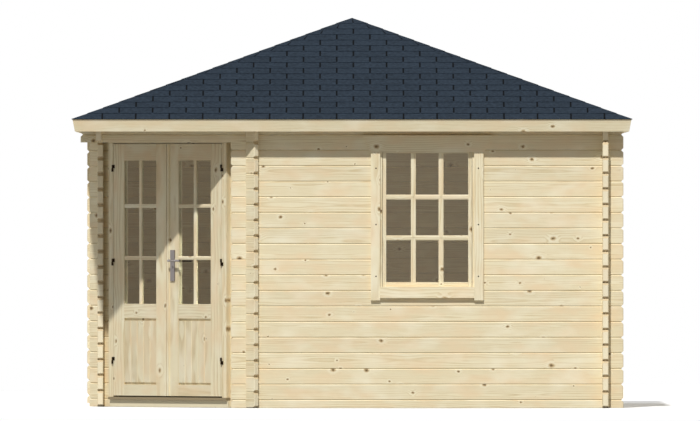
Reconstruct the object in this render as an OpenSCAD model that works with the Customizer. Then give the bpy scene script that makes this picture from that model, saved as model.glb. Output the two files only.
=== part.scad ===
// Corner summerhouse of interlocked logs.
// A square plan with one corner cut off at 45 degrees for a double door, under a pyramid roof.
// Millimetres. Origin on the ground at the plan's centre, X to the right, Y to the back, Z up.

/* [Plan] */
// Width over the outer faces of the walls
plan_w = 3744; // [3640:4:3960]
// Length of the door wall's logs, from their slot in the door frame to the wall's corner
door_side = 185.7; // [178:0.1:250]

/* [Logs] */
// Thickness of a wall log
log_t = 44; // [40:1:48]
// Height of one course of logs
log_h = 114; // [112:1:120]
// Courses from the ground to the roof
courses = 19; // [19:1:20]
// Log ends past a crossing wall
tail = 110; // [90:1:115]
// Log ends of the door wall past the walls that it crosses
door_tail = 89; // [80:1:105]
// Log ends of the side walls under the eaves
eave_tail = 70; // [50:1:80]
// Bevel on the upper and lower edges of a log end
end_chamfer = 16; // [8:1:18]
// Bevel on the upright edges of a log end
side_chamfer = 5; // [3:1:12]
// Bevel along the face of a log, which makes the V joint between courses
edge_vee = 5.5; // [1:0.5:7]
// Width of each of the two tongues on top of a log
tongue_w = 8; // [6:0.5:9]
// Height of the tongues
tongue_h = 6; // [4:0.5:8]

/* [Roof] */
// Slope of each side in degrees
roof_pitch = 20.37; // [19:0.01:22]
// Eaves past the wall face, to the edge of the shingles
overhang = 175; // [165:1:190]
// Thickness of the roof boards
deck_t = 18; // [16:1:22]
// Thickness of the shingle cover
shingle_t = 6; // [4:0.5:8]
// How far the shingles run past the fascia
drip = 6; // [4:1:10]
// Height of the fascia, square to the slope
fascia_h = 90; // [80:1:95]
// Lean of the fascia from upright in degrees
fascia_lean = 11; // [6:0.5:18]
// Thickness of the fascia
fascia_t = 20; // [18:1:24]
// Width of a rafter
rafter_w = 45; // [36:1:50]
// Depth of a hip rafter
hip_h = 95; // [80:1:100]
// Depth of the rafter in the middle of each side
common_h = 70; // [60:1:80]
// Distance from the hub's axis to the faces that the rafters meet
hub_r = 90; // [80:1:110]
// Height of the hub below the peak of the roof boards
hub_h = 190; // [150:1:230]

/* [Doors] */
// Width of one door leaf
leaf_w = 562.5; // [520:0.5:670]
// Thickness of a leaf
leaf_t = 40; // [36:1:42]
// How far the leaves stand proud of the door wall
leaf_out = 42; // [42:1:46]
// Gap between the two leaves
meet_gap = 6; // [5:0.5:8]
// Height of the leaves' lower edge
leaf_foot = 82; // [78:1:90]
// Width of a stile
stile_w = 113; // [105:1:120]
// Height of the bottom rail
bottom_rail = 81; // [75:1:95]
// Height of the boarded panel's opening
panel_h = 487; // [460:1:510]
// Height of the rail under the glass
lock_rail = 106; // [100:1:115]
// Height of the top rail
top_rail = 123; // [110:1:130]
// Shadow groove above and below the boarded panel
panel_groove = 12; // [8:1:15]
// Bead along the meeting edge of each leaf, width
bead_w = 19; // [15:1:22]
// Bead thickness
bead_t = 9; // [6:1:12]
// Glass thickness in doors and windows
glass_t = 4; // [3:0.5:5]
// Setback of the door glass from the leaf's face
glass_in = 12; // [10:1:26]
// Free space round each leaf
swing_gap = 5; // [5:0.5:7]
// Hinge barrel radius
hinge_r = 6; // [5:0.5:7]
// Hinge pin radius
pin_r = 3; // [2.5:0.25:3.5]
// Height of a hinge, both knuckles
hinge_h = 50; // [44:1:60]

/* [Handle] */
// Height of the lever above the ground
lever_z = 1073; // [1050:1:1090]
// Plate width
plate_w = 44; // [38:1:48]
// Plate height
plate_h = 228; // [210:1:240]
// Plate thickness
plate_t = 8; // [6:1:10]
// Lever reach from its axis
lever_l = 116; // [95:1:125]
// Lever grip radius
grip_r = 8; // [7:0.5:10]
// Lever standing off from the plate
lever_off = 36; // [30:1:50]

/* [Windows] */
// Centre of the window from the middle of its wall
win_x = 549; // [520:1:600]
// Half width of the opening through the logs
win_half = 350; // [340:1:360]
// Thickness of the lining round the opening
lining_t = 20.5; // [18:0.5:24]
// Height of the lining's sill and the sash above it
lining_sill = 28.5; // [24:0.5:32]
// Height of the lining's head
lining_head = 41.5; // [36:0.5:46]
// Visible width of the sash stiles
sash_w = 26.5; // [24:0.5:32]
// Height of the sash rails
sash_rail = 34; // [30:1:40]
// Thickness of the sash
sash_t = 34; // [30:1:36]
// Width of the casing boards
casing_w = 67.5; // [60:0.5:75]
// Thickness of the casing boards
casing_t = 22; // [16:1:25]
// Height of the shaped head board
head_board = 122; // [100:1:130]
// Slant of the head board's ends
head_slant = 55; // [30:1:65]
// Height of the sill board between the casings
sill_board = 81; // [70:1:90]

/* [Floor] */
// Height of the floor bearers
bearer_h = 41; // [36:1:44]
// Width of the floor bearers
bearer_w = 70; // [60:1:90]
// Thickness of the floor
floor_t = 19; // [16:1:24]

/* [Fits] */
// Gap between neighbouring pieces of timber
fit = 0.4; // [0.3:0.05:0.6]
// Running clearance round a hinge pin
pin_fit = 0.08; // [0.05:0.01:0.1]

/* [Hidden] */
$fn = 48;
outer = plan_w / 2;
inner = outer - log_t;
wall_h = courses * log_h;
slope = tan(roof_pitch);
root2 = sqrt(2);
past = 1;

// door frame, across the door wall from its middle
stop_lap = 10.5;
jamb_web = 19.5;
log_slot = 26;
leaf_half = meet_gap / 2 + leaf_w;
jamb_in = leaf_half + swing_gap;
stop_in = leaf_half - stop_lap;
log_stop = jamb_in + jamb_web;
jamb_out = log_stop + log_slot;

// door wall: half the length of its outer face, what it cuts off each wall, distance from the centre
door_half = log_stop + door_side;
corner_cut = door_half * root2;
door_d = (2 * outer - corner_cut) / root2;
cross_x = corner_cut - outer;
door_courses = 17;
beam_z = door_courses * log_h;

// log section about its centre height: half height, half height where logs cross, reach of the tongues
log_hb = (log_h - fit) / 2;
log_hn = (log_h / 2 - fit) / 2;
tongue_play = 1;
tongue_x = edge_vee + (tongue_w + tongue_play) / 2 + past;

// roof: underside of the boards rises from the wall's inner top edge
deck_peak = wall_h + inner * slope;
cover_h = deck_t + fit + shingle_t;
shingle_end = (outer + overhang - cover_h * sin(roof_pitch)) / cos(roof_pitch);
fascia_end = shingle_end - drip;
deck_end = fascia_end - fascia_t - fit;
fascia_slant = tan(roof_pitch - fascia_lean);
roof_reach = 1.1 * (outer + overhang);
top_tail = 40;
eave_courses = 2;

// door frame, from the wall's face inwards and in height
leaf_drop = 8;
frame_past = 20;
sill_drop = 10;
sill_stop = 10;
sill_nose = 20;
sill_lip = 4;
apron_out = 28;
head_h = 45;
stop_h = 15;
leaf_top = beam_z - leaf_drop;
leaf_in = leaf_out - leaf_t;
stop_y = swing_gap - leaf_in;
frame_in = log_t + frame_past;
sill_top = leaf_foot - sill_drop;
sill_front = leaf_out + sill_lip;
head_foot = leaf_top + swing_gap;
head_top = head_foot + head_h;

// leaf
glass_x0 = meet_gap / 2 + stile_w;
glass_x1 = leaf_half - stile_w;
panel_z0 = leaf_foot + bottom_rail;
panel_z1 = panel_z0 + panel_h;
glass_z0 = panel_z1 + lock_rail;
glass_z1 = leaf_top - top_rail;
groove_d = 9;
panel_in = 2;
panel_back = 8;
groove_w = glass_t + 2 * fit;
groove_y = -leaf_out + glass_in + glass_t / 2;
tuck = groove_d - past;

// hinges
hinge_x = leaf_half + swing_gap / 2;
hinge_y = -(leaf_out + hinge_r + past);
hinge_low = 258;
hinge_mid = 980;
hinge_high = 179;
hinge_zs = [leaf_foot + hinge_low, leaf_foot + hinge_mid, leaf_top - hinge_high];
flap_l = 16;
flap_t = 3;
knuckle_gap = 0.5;

// handle, on the right leaf
handle_x = meet_gap / 2 + stile_w / 2;
plate_below = 0.656;
plate_z0 = lever_z - plate_h * plate_below;
neck_r = 9;
spindle_r = 4;
spindle_play = 6;
spindle_bore = spindle_r + spindle_play;
key_r = 8;
key_drop = 48;
key_out = 4;

// window, heights on the course lines
win_courses = 7.5;
win_z0 = win_courses * log_h;
win_z1 = beam_z;
sash_play = 3.5;
sash_half = win_half - lining_t - sash_play;
sash_z0 = win_z0 + lining_sill + fit;
sash_z1 = win_z1 - lining_head - sash_play;
pane_half = sash_half - sash_w;
pane_z0 = sash_z0 + sash_rail;
pane_z1 = sash_z1 - sash_rail;
sash_y = (log_t - sash_t) / 2;
casing_lap = 6;
casing_drop = 70;
head_drop = 71;
head_lap = 6.5;
sill_proud = 6;
casing_x0 = win_half - casing_lap;
casing_z0 = win_z0 - casing_drop;
casing_z1 = win_z1 - head_drop;

// floor
floor_edge = 8;
floor_inset = frame_in + floor_edge;
bearers = 5;

/* [Pieces] */

// Each wall is drawn with its outer face on y = 0, x along it and the room on the +y side.
module on_front() { translate([0, -outer, 0]) children(); }
module on_left() { mirror([1, -1, 0]) on_front() children(); }
module on_right() { rotate([0, 0, 90]) on_front() children(); }
module on_back() { rotate([0, 0, 180]) on_front() children(); }
module on_door() { rotate([0, 0, -45]) translate([0, -door_d, 0]) children(); }

module spruce() { color([0.89, 0.80, 0.62]) children(); }
module steel() { color([0.25, 0.22, 0.20]) children(); }
module pane() { color([0.75, 0.82, 0.82, 0.4]) children(); }

// One log with two tongues on top, the matching grooves below and V edges on both faces.
module log_section() {
    gw = (tongue_w + tongue_play) / 2;
    tw = tongue_w / 2;
    gd = tongue_h + tongue_play - log_hb;
    a = tongue_x;
    b = log_t - tongue_x;
    polygon([[0, edge_vee - log_hb], [edge_vee, -log_hb],
        [a - gw, -log_hb], [a - gw, gd], [a + gw, gd], [a + gw, -log_hb],
        [b - gw, -log_hb], [b - gw, gd], [b + gw, gd], [b + gw, -log_hb],
        [log_t - edge_vee, -log_hb], [log_t, edge_vee - log_hb],
        [log_t, log_hb - edge_vee], [log_t - edge_vee, log_hb],
        [b + tw, log_hb], [b + tw, log_hb + tongue_h], [b - tw, log_hb + tongue_h], [b - tw, log_hb],
        [a + tw, log_hb], [a + tw, log_hb + tongue_h], [a - tw, log_hb + tongue_h], [a - tw, log_hb],
        [edge_vee, log_hb], [0, log_hb - edge_vee]]);
}

// Side view of a log: bevelled free ends and a notch from above and below at each crossing wall.
function log_side(x0, x1, free, cols) =
    let (lo = -log_hb - past, hi = log_hb + tongue_h + past,
        c = end_chamfer, up = end_chamfer + tongue_h + past)
    concat(
        free[0] ? [[x0, c - log_hb], [x0 + c + past, lo]] : [[x0, lo]],
        [for (n = cols) each [[n[0], lo], [n[0], -log_hn], [n[1], -log_hn], [n[1], lo]]],
        free[1] ? [[x1 - c - past, lo], [x1, c - log_hb], [x1, log_hb - c], [x1 - up, hi]]
            : [[x1, lo], [x1, hi]],
        [for (i = [1:len(cols)]) let (n = cols[len(cols) - i])
            each [[n[1], hi], [n[1], log_hn], [n[0], log_hn], [n[0], hi]]],
        free[0] ? [[x0 + up, hi], [x0, log_hb - c]] : [[x0, hi]]);

// Plan of a log, with the upright edges of its free ends bevelled.
function log_plan(x0, x1, free) =
    let (a = free[0] ? side_chamfer : -past, b = free[1] ? side_chamfer : -past)
    [[x0, a], [x0 + a + past, -past], [x1 - b - past, -past], [x1, b],
        [x1, log_t - b], [x1 - b - past, log_t + past], [x0 + a + past, log_t + past], [x0, log_t - a]];

module log(x0, x1, zc, free = [true, true], cols = []) {
    translate([0, 0, zc]) intersection() {
        translate([x0 - past, 0, 0]) rotate([90, 0, 90])
            linear_extrude(x1 - x0 + 2 * past) log_section();
        translate([0, log_t + 2 * past, 0]) rotate([90, 0, 0])
            linear_extrude(log_t + 4 * past) polygon(log_side(x0, x1, free, cols));
        translate([0, 0, -log_h]) linear_extrude(2 * log_h) polygon(log_plan(x0, x1, free));
    }
}

// The part of its children between two heights.
module between(z0, z1) {
    intersection() {
        children();
        translate([-roof_reach, -roof_reach, z0]) cube([2 * roof_reach, 2 * roof_reach, z1 - z0]);
    }
}

// Columns where a square corner's other wall crosses.
col_right = [inner - fit, outer + fit];
col_left = [-outer - fit, -inner + fit];

// The door wall, or a wall that crosses it, as a slab to notch logs with.
module crossing(x, turn, z0, z1) {
    translate([x, 0, z0]) rotate([0, 0, turn]) translate([-2 * corner_cut, -fit, 0])
        cube([4 * corner_cut, log_t + 2 * fit, z1 - z0]);
}

// Notches of one log where the slanting wall crosses, below and above its middle.
module slant_notch(x, turn, zc) {
    crossing(x, turn, zc - log_h, zc - log_hn);
    crossing(x, turn, zc + log_hn, zc + log_h);
}

// All space under the roof boards.
module under_roof() {
    intersection() {
        roof_prism();
        rotate([0, 0, 90]) roof_prism();
    }
}

module roof_prism() {
    edge = deck_peak - roof_reach * slope - fit;
    translate([-roof_reach, 0, 0]) rotate([90, 0, 90]) linear_extrude(2 * roof_reach)
        polygon([[-roof_reach, -past], [roof_reach, -past], [roof_reach, edge],
            [0, deck_peak - fit], [-roof_reach, edge]]);
}

module window_hole() {
    translate([win_x - win_half, -past, win_z0])
        cube([2 * win_half, log_t + 2 * past, win_z1 - win_z0]);
}

// Walls

// Front and back walls start on a half log, so their courses lie half a log above the side walls'.
module front_wall() {
    spruce() on_front() difference() {
        union() {
            between(0, log_h) front_log(0, false);
            for (k = [1:door_courses - 1]) front_log(k * log_h, false);
            between(0, beam_z - fit) front_log(beam_z, false);
        }
        window_hole();
    }
    spruce() intersection() {
        on_front() {
            between(beam_z, wall_h) front_log(beam_z, true);
            for (k = [door_courses + 1:courses]) front_log(k * log_h, true);
        }
        under_roof();
    }
}

// A front log ends past the door wall, or runs on to the missing corner as a beam.
module front_log(zc, beam) {
    reach = outer + (zc < wall_h - past ? tail : top_tail);
    difference() {
        log(beam ? -reach : cross_x - tail, reach, zc, [true, true],
            beam ? [col_left, col_right] : [col_right]);
        slant_notch(cross_x, -45, zc);
    }
}

module back_wall() {
    spruce() intersection() {
        on_back() {
            between(0, log_h) log(-outer - tail, outer + tail, 0, [true, true], [col_left, col_right]);
            for (k = [1:courses - 1])
                log(-outer - tail, outer + tail, k * log_h, [true, true], [col_left, col_right]);
            log(-outer - top_tail, outer + top_tail, wall_h, [true, true], [col_left, col_right]);
        }
        under_roof();
    }
}

module left_wall() {
    spruce() on_left() difference() {
        for (k = [0:door_courses - 1]) side_log((k + 0.5) * log_h);
        window_hole();
    }
    spruce() intersection() {
        on_left() for (k = [door_courses:courses - 1]) whole_side_log(k);
        under_roof();
    }
}

module side_log(zc) {
    difference() {
        log(cross_x - tail, outer + tail, zc, [true, true], [col_right]);
        slant_notch(cross_x, -45, zc);
    }
}

module whole_side_log(k) {
    reach = outer + (k < courses - eave_courses ? tail : eave_tail);
    log(-reach, reach, (k + 0.5) * log_h, [true, true], [col_left, col_right]);
}

module right_wall() {
    spruce() intersection() {
        on_right() for (k = [0:courses - 1]) whole_side_log(k);
        under_roof();
    }
}

// Door wall: short logs on both sides, which slot into the jambs and cross the neighbouring walls.
module door_wall_right() {
    spruce() on_door() for (k = [0:door_courses - 1]) difference() {
        log(log_stop + fit, door_half + door_tail, (k + 0.5) * log_h, [false, true]);
        slant_notch(door_half, 45, (k + 0.5) * log_h);
    }
}

module door_wall_left() {
    spruce() on_door() between(0, beam_z - fit) for (k = [1:door_courses]) difference() {
        log(-door_half - door_tail, -log_stop - fit, k * log_h, [true, false]);
        slant_notch(-door_half, -45, k * log_h);
    }
}

module door_base_log() {
    spruce() on_door() between(0, log_h / 2) difference() {
        log(-door_half - door_tail, log_stop - fit, 0, [true, false]);
        slant_notch(-door_half, -45, 0);
    }
}

// Logs over the door, cut to the roof, butted to the left wall and crossing the front wall.
gable_peak = deck_peak - (door_d - log_t) / root2 * slope;
gable_top = ceil(gable_peak / log_h) - 1;

module door_wall_gable() {
    spruce() difference() {
        intersection() {
            on_door() for (k = [door_courses:gable_top]) gable_log((k + 0.5) * log_h);
            under_roof();
            translate([fit - inner, -roof_reach, 0]) cube([roof_reach, 2 * roof_reach, deck_peak]);
        }
        on_door() translate([-log_stop, -past, beam_z - past])
            cube([2 * log_stop, log_t + 2 * past, head_top + fit - beam_z + past]);
        hip_bar(rafter_w + 2 * fit, hip_h + fit, 225);
    }
}

module gable_log(zc) {
    difference() {
        log(-door_half - door_tail, door_half + door_tail, zc, [false, true]);
        if (zc < wall_h) slant_notch(door_half, 45, zc);
    }
}

// Floor

module floor_shape(edge) {
    e = inner - edge;
    c = (door_d - floor_inset) * root2;
    polygon([[e - c, -e], [e, -e], [e, e], [-e, e], [-e, e - c]]);
}

module floor_bearers() {
    spruce() intersection() {
        linear_extrude(bearer_h) floor_shape(fit);
        for (i = [0:bearers - 1])
            translate([-inner, (i + 0.5) * 2 * inner / bearers - inner - bearer_w / 2, -past])
                cube([2 * inner, bearer_w, bearer_h + 2 * past]);
    }
}

module floor_deck() {
    spruce() translate([0, 0, bearer_h + fit]) linear_extrude(floor_t) floor_shape(floor_edge);
}

// Door frame

module jamb() {
    translate([0, 0, sill_top + fit]) linear_extrude(head_foot - sill_top - 2 * fit)
        polygon([[stop_in, frame_in], [jamb_out, frame_in], [jamb_out, log_t + fit],
            [log_stop, log_t + fit], [log_stop, -fit], [jamb_out, -fit], [jamb_out, -leaf_out],
            [jamb_in, -leaf_out], [jamb_in, stop_y], [stop_in, stop_y]]);
}

module door_jamb_right() { spruce() on_door() jamb(); }
module door_jamb_left() { spruce() on_door() mirror([1, 0, 0]) jamb(); }

module door_head() {
    spruce() on_door() union() {
        translate([-jamb_out, -leaf_out, head_foot])
            cube([2 * jamb_out, leaf_out - fit, head_top - head_foot]);
        translate([fit - log_stop, -leaf_out / 2, head_foot])
            cube([2 * (log_stop - fit), leaf_out / 2 + frame_in, head_top - head_foot]);
        translate([fit - stop_in, stop_y, head_foot - stop_h])
            cube([2 * (stop_in - fit), frame_in - stop_y, stop_h + past]);
    }
}

module door_sill() {
    base_top = log_h / 2;
    spruce() on_door() union() {
        translate([-jamb_out, -sill_front, sill_top - sill_nose])
            cube([2 * jamb_out, sill_front - fit, sill_nose]);
        translate([-jamb_out, -apron_out, 0])
            cube([2 * jamb_out, apron_out - fit, sill_top - sill_nose + past]);
        translate([2 * fit - log_stop, -sill_front / 2, base_top + fit])
            cube([2 * (log_stop - 2 * fit), sill_front / 2 + frame_in, sill_top - base_top - fit]);
        translate([fit - stop_in, stop_y, sill_top - past])
            cube([2 * (stop_in - fit), frame_in - stop_y, leaf_foot + sill_stop - sill_top + past]);
    }
}

// Hinges: the frame's knuckle carries the pin, the leaf's knuckle turns on it.
module frame_knuckle() {
    half = hinge_h / 2;
    translate([hinge_x, hinge_y, -half]) cylinder(r = hinge_r, h = half - knuckle_gap / 2);
    translate([hinge_x, hinge_y, -half]) cylinder(r = pin_r, h = hinge_h - 2 * past);
    translate([hinge_x, -leaf_out - fit - flap_t, -half])
        cube([flap_l, flap_t, half - knuckle_gap / 2]);
}

module leaf_knuckle() {
    half = hinge_h / 2;
    difference() {
        union() {
            translate([hinge_x, hinge_y, knuckle_gap / 2])
                cylinder(r = hinge_r, h = half - knuckle_gap / 2);
            translate([hinge_x - flap_l, -leaf_out - fit - flap_t, knuckle_gap / 2])
                cube([flap_l, flap_t, half - knuckle_gap / 2]);
        }
        translate([hinge_x, hinge_y, -past])
            cylinder(r = pin_r + pin_fit, h = half + past - 3 * knuckle_gap);
    }
}

module frame_hinges() {
    steel() on_door() for (z = hinge_zs) translate([0, 0, z]) {
        frame_knuckle();
        mirror([1, 0, 0]) frame_knuckle();
    }
}

module leaf_hinges() { for (z = hinge_zs) translate([0, 0, z]) leaf_knuckle(); }

// Door leaf: two stiles and three rails, grooved for the glass and the boarded panel.
module stile(x0, x1, groove_side, bead) {
    gx = groove_side > 0 ? x1 : x0;
    difference() {
        union() {
            translate([x0, -leaf_out, leaf_foot]) cube([x1 - x0, leaf_t, leaf_top - leaf_foot]);
            if (bead) translate([x0, -leaf_out - bead_t, leaf_foot])
                cube([bead_w, bead_t + past, leaf_top - leaf_foot]);
        }
        translate([gx - groove_d, groove_y - groove_w / 2, leaf_foot + past])
            cube([2 * groove_d, groove_w, leaf_top - leaf_foot - 2 * past]);
    }
}

module rail(z0, z1, low, high) {
    difference() {
        translate([glass_x0 + fit, -leaf_out, z0])
            cube([glass_x1 - glass_x0 - 2 * fit, leaf_t, z1 - z0]);
        if (low) rail_groove(z0);
        if (high) rail_groove(z1);
    }
}

module rail_groove(z) {
    translate([glass_x0, groove_y - groove_w / 2, z - groove_d])
        cube([glass_x1 - glass_x0, groove_w, 2 * groove_d]);
}

module leaf_frame() {
    stile(glass_x1, leaf_half, -1, false);
    rail(leaf_foot, panel_z0, false, true);
    rail(panel_z1, glass_z0, true, true);
    rail(glass_z1, leaf_top, true, false);
}

module leaf_panel() {
    translate([glass_x0 + fit, -leaf_out + panel_in, panel_z0 + panel_groove])
        cube([glass_x1 - glass_x0 - 2 * fit, leaf_t - panel_in - panel_back, panel_h - 2 * panel_groove]);
    translate([glass_x0 - tuck, groove_y - glass_t / 2, panel_z0 - tuck])
        cube([glass_x1 - glass_x0 + 2 * tuck, glass_t, panel_h + 2 * tuck]);
}

module leaf_pane() {
    translate([glass_x0 - tuck, groove_y - glass_t / 2, glass_z0 - tuck])
        cube([glass_x1 - glass_x0 + 2 * tuck, glass_t, glass_z1 - glass_z0 + 2 * tuck]);
}

module right_leaf() {
    spruce() on_door() {
        leaf_frame();
        difference() {
            stile(meet_gap / 2, glass_x0, 1, true);
            translate([handle_x, 0, lever_z]) rotate([90, 0, 0])
                cylinder(r = spindle_bore, h = 3 * leaf_t, center = true);
            translate([handle_x, 0, lever_z - key_drop]) rotate([90, 0, 0])
                cylinder(r = key_r + fit, h = 3 * leaf_t, center = true);
        }
    }
}

module left_leaf() {
    spruce() on_door() mirror([1, 0, 0]) {
        leaf_frame();
        stile(meet_gap / 2, glass_x0, 1, true);
    }
}

module right_leaf_panel() { spruce() on_door() leaf_panel(); }
module left_leaf_panel() { spruce() on_door() mirror([1, 0, 0]) leaf_panel(); }
module right_leaf_glass() { pane() on_door() leaf_pane(); }
module left_leaf_glass() { pane() on_door() mirror([1, 0, 0]) leaf_pane(); }
module right_leaf_hinges() { steel() on_door() leaf_hinges(); }
module left_leaf_hinges() { steel() on_door() mirror([1, 0, 0]) leaf_hinges(); }

// Handle: a long plate on each face, one with the lock cylinder, and a lever through both.
module plate(y) {
    difference() {
        translate([handle_x - plate_w / 2, y, plate_z0]) cube([plate_w, plate_t, plate_h]);
        translate([handle_x, y + plate_t / 2, lever_z]) rotate([90, 0, 0])
            cylinder(r = neck_r + pin_fit, h = 2 * plate_t, center = true);
        translate([handle_x, y + plate_t / 2, lever_z - key_drop]) rotate([90, 0, 0])
            cylinder(r = key_r + fit, h = 2 * plate_t, center = true);
    }
}

module handle_plates() {
    steel() on_door() {
        plate(-leaf_out - fit - plate_t);
        plate(-leaf_in + fit);
        translate([handle_x, -leaf_in + fit + plate_t + key_out, lever_z - key_drop]) rotate([90, 0, 0])
            cylinder(r = key_r, h = leaf_t + 2 * (fit + plate_t + key_out));
    }
}

module lever_arm() {
    neck = plate_t + lever_off;
    rotate([90, 0, 0]) cylinder(r = neck_r, h = neck);
    translate([-neck_r, -neck, 0]) rotate([0, 90, 0]) cylinder(r = grip_r, h = lever_l + neck_r);
}

module door_lever() {
    steel() on_door() translate([handle_x, 0, lever_z]) {
        translate([0, -leaf_out - fit, 0]) lever_arm();
        translate([0, -leaf_in + fit, 0]) mirror([0, 1, 0]) lever_arm();
        translate([0, past - leaf_in + fit, 0]) rotate([90, 0, 0])
            cylinder(r = spindle_r, h = leaf_t + 2 * (fit + past));
    }
}

// Windows

module lining() {
    h = win_z1 - win_z0;
    deep = log_t - 2 * fit;
    wide = 2 * (win_half - lining_t - fit);
    for (s = [0, 1]) translate([win_x, 0, 0]) mirror([s, 0, 0])
        translate([win_half - lining_t, fit, win_z0 + fit]) cube([lining_t - fit, deep, h - 2 * fit]);
    translate([win_x - wide / 2, fit, win_z0 + fit]) cube([wide, deep, lining_sill - fit]);
    translate([win_x - wide / 2, fit, win_z1 - lining_head]) cube([wide, deep, lining_head - fit]);
}

module casing() {
    out = -casing_t - fit;
    for (s = [0, 1]) translate([win_x, 0, 0]) mirror([s, 0, 0]) {
        translate([casing_x0, out, casing_z0]) cube([casing_w, casing_t, casing_z1 - casing_z0]);
        translate([casing_x0, log_t + fit, casing_z0]) cube([casing_w, casing_t, win_z1 - casing_z0]);
    }
    half = casing_x0 + casing_w + head_lap;
    top = half + head_slant;
    translate([win_x, -fit, casing_z1 + fit]) rotate([90, 0, 0]) linear_extrude(casing_t)
        polygon([[-half, 0], [half, 0], [top, head_board], [-top, head_board]]);
    translate([win_x - half, log_t + fit, win_z1 + fit]) cube([2 * half, casing_t, casing_w]);
    board = 2 * (casing_x0 - fit);
    board_z = sash_z0 - sill_board;
    translate([win_x - board / 2, out - sill_proud, board_z])
        cube([board, casing_t + sill_proud, sill_board - fit]);
    translate([win_x - board / 2, log_t + fit, board_z]) cube([board, casing_t, sill_board - fit]);
}

module sash() {
    for (s = [0, 1]) translate([win_x, 0, 0]) mirror([s, 0, 0]) difference() {
        translate([pane_half, sash_y, sash_z0]) cube([sash_w, sash_t, sash_z1 - sash_z0]);
        translate([pane_half - groove_d, (log_t - groove_w) / 2, sash_z0 + past])
            cube([2 * groove_d, groove_w, sash_z1 - sash_z0 - 2 * past]);
    }
    for (z = [[sash_z0, pane_z0], [pane_z1, pane_z1]]) difference() {
        translate([win_x - pane_half + fit, sash_y, z[0]])
            cube([2 * (pane_half - fit), sash_t, sash_rail]);
        translate([win_x - pane_half, (log_t - groove_w) / 2, z[1] - groove_d])
            cube([2 * pane_half, groove_w, 2 * groove_d]);
    }
}

module window_pane() {
    translate([win_x - pane_half - tuck, (log_t - glass_t) / 2, pane_z0 - tuck])
        cube([2 * (pane_half + tuck), glass_t, pane_z1 - pane_z0 + 2 * tuck]);
}

module front_window_lining() { spruce() on_front() lining(); }
module front_window_casing() { spruce() on_front() casing(); }
module front_window_sash() { spruce() on_front() sash(); }
module front_window_glass() { pane() on_front() window_pane(); }
module left_window_lining() { spruce() on_left() lining(); }
module left_window_casing() { spruce() on_left() casing(); }
module left_window_sash() { spruce() on_left() sash(); }
module left_window_glass() { pane() on_left() window_pane(); }

// Roof: a board on the front slope between two distances down the slope and two heights above
// the boards' underside, mitred to its neighbours on the hips. Its lower edge can slant outwards.
module slope_slab(s0, s1, h0, h1, slant = 0) {
    hip_gap = fit / root2;
    low = slant * (deck_t - h0);
    high = slant * (deck_t - h1);
    intersection() {
        translate([-roof_reach, 0, deck_peak]) rotate([roof_pitch, 0, 0]) rotate([90, 0, 90])
            linear_extrude(2 * roof_reach)
                polygon([[-s1 - low, h0], [-s0 - low, h0], [-s0 - high, h1], [-s1 - high, h1]]);
        linear_extrude(2 * deck_peak)
            polygon([[0, -hip_gap],
                [-roof_reach, -roof_reach - hip_gap],
                [roof_reach, -roof_reach - hip_gap]]);
    }
}

module roof_boards(side) {
    spruce() rotate([0, 0, 90 * side]) slope_slab(-deck_end, deck_end, 0, deck_t, fascia_slant);
}

module shingles(side) {
    color([0.18, 0.23, 0.28]) rotate([0, 0, 90 * side])
        slope_slab(-deck_end, shingle_end, deck_t + fit, cover_h);
}

module fascia(side) {
    spruce() rotate([0, 0, 90 * side])
        slope_slab(deck_end + fit, fascia_end, deck_t - fascia_h, deck_t, fascia_slant);
}

module roof_boards_front() { roof_boards(0); }
module roof_boards_right() { roof_boards(1); }
module roof_boards_back() { roof_boards(2); }
module roof_boards_left() { roof_boards(3); }
module shingles_front() { shingles(0); }
module shingles_right() { shingles(1); }
module shingles_back() { shingles(2); }
module shingles_left() { shingles(3); }
module fascia_front() { fascia(0); }
module fascia_right() { fascia(1); }
module fascia_back() { fascia(2); }
module fascia_left() { fascia(3); }

// A bar of given width and depth under the roof boards along one direction from the hub.
module sloping_bar(w, h, turn, fall, reach) {
    a0 = hub_r + fit;
    rotate([0, 0, turn]) translate([0, w / 2, 0]) rotate([90, 0, 0]) linear_extrude(w)
        polygon([[a0, deck_peak - a0 * fall - h], [reach, deck_peak - reach * fall - h],
            [reach, deck_peak - reach * fall], [a0, deck_peak - a0 * fall]]);
}

module hip_bar(w, h, turn) { sloping_bar(w, h, turn, slope / root2, inner * root2); }

module within_walls() {
    e = inner - fit;
    intersection() {
        children();
        under_roof();
        translate([-e, -e, 0]) cube([2 * e, 2 * e, 2 * deck_peak]);
    }
}

module hip_rafters() {
    spruce() within_walls() for (i = [0:3]) hip_bar(rafter_w, hip_h, 45 + 90 * i);
}

module common_rafters() {
    spruce() within_walls() for (i = [0:3]) sloping_bar(rafter_w, common_h, 90 * i, slope, outer);
}

module rafter_hub() {
    sides = 8;
    turn = 180 / sides;
    spruce() intersection() {
        translate([0, 0, deck_peak - hub_h]) rotate([0, 0, turn])
            cylinder(r = hub_r / cos(turn), h = hub_h, $fn = sides);
        under_roof();
    }
}

front_wall();
back_wall();
left_wall();
right_wall();
door_wall_left();
door_wall_right();
door_wall_gable();
door_base_log();
floor_bearers();
floor_deck();
door_jamb_left();
door_jamb_right();
door_head();
door_sill();
frame_hinges();
front_window_lining();
front_window_casing();
front_window_sash();
front_window_glass();
left_window_lining();
left_window_casing();
left_window_sash();
left_window_glass();
roof_boards_front();
roof_boards_right();
roof_boards_back();
roof_boards_left();
shingles_front();
shingles_right();
shingles_back();
shingles_left();
fascia_front();
fascia_right();
fascia_back();
fascia_left();
hip_rafters();
common_rafters();
rafter_hub();
left_leaf();
left_leaf_panel();
left_leaf_glass();
left_leaf_hinges();
right_leaf();
right_leaf_panel();
right_leaf_glass();
right_leaf_hinges();
handle_plates();
door_lever();
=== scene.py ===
import math

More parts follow.
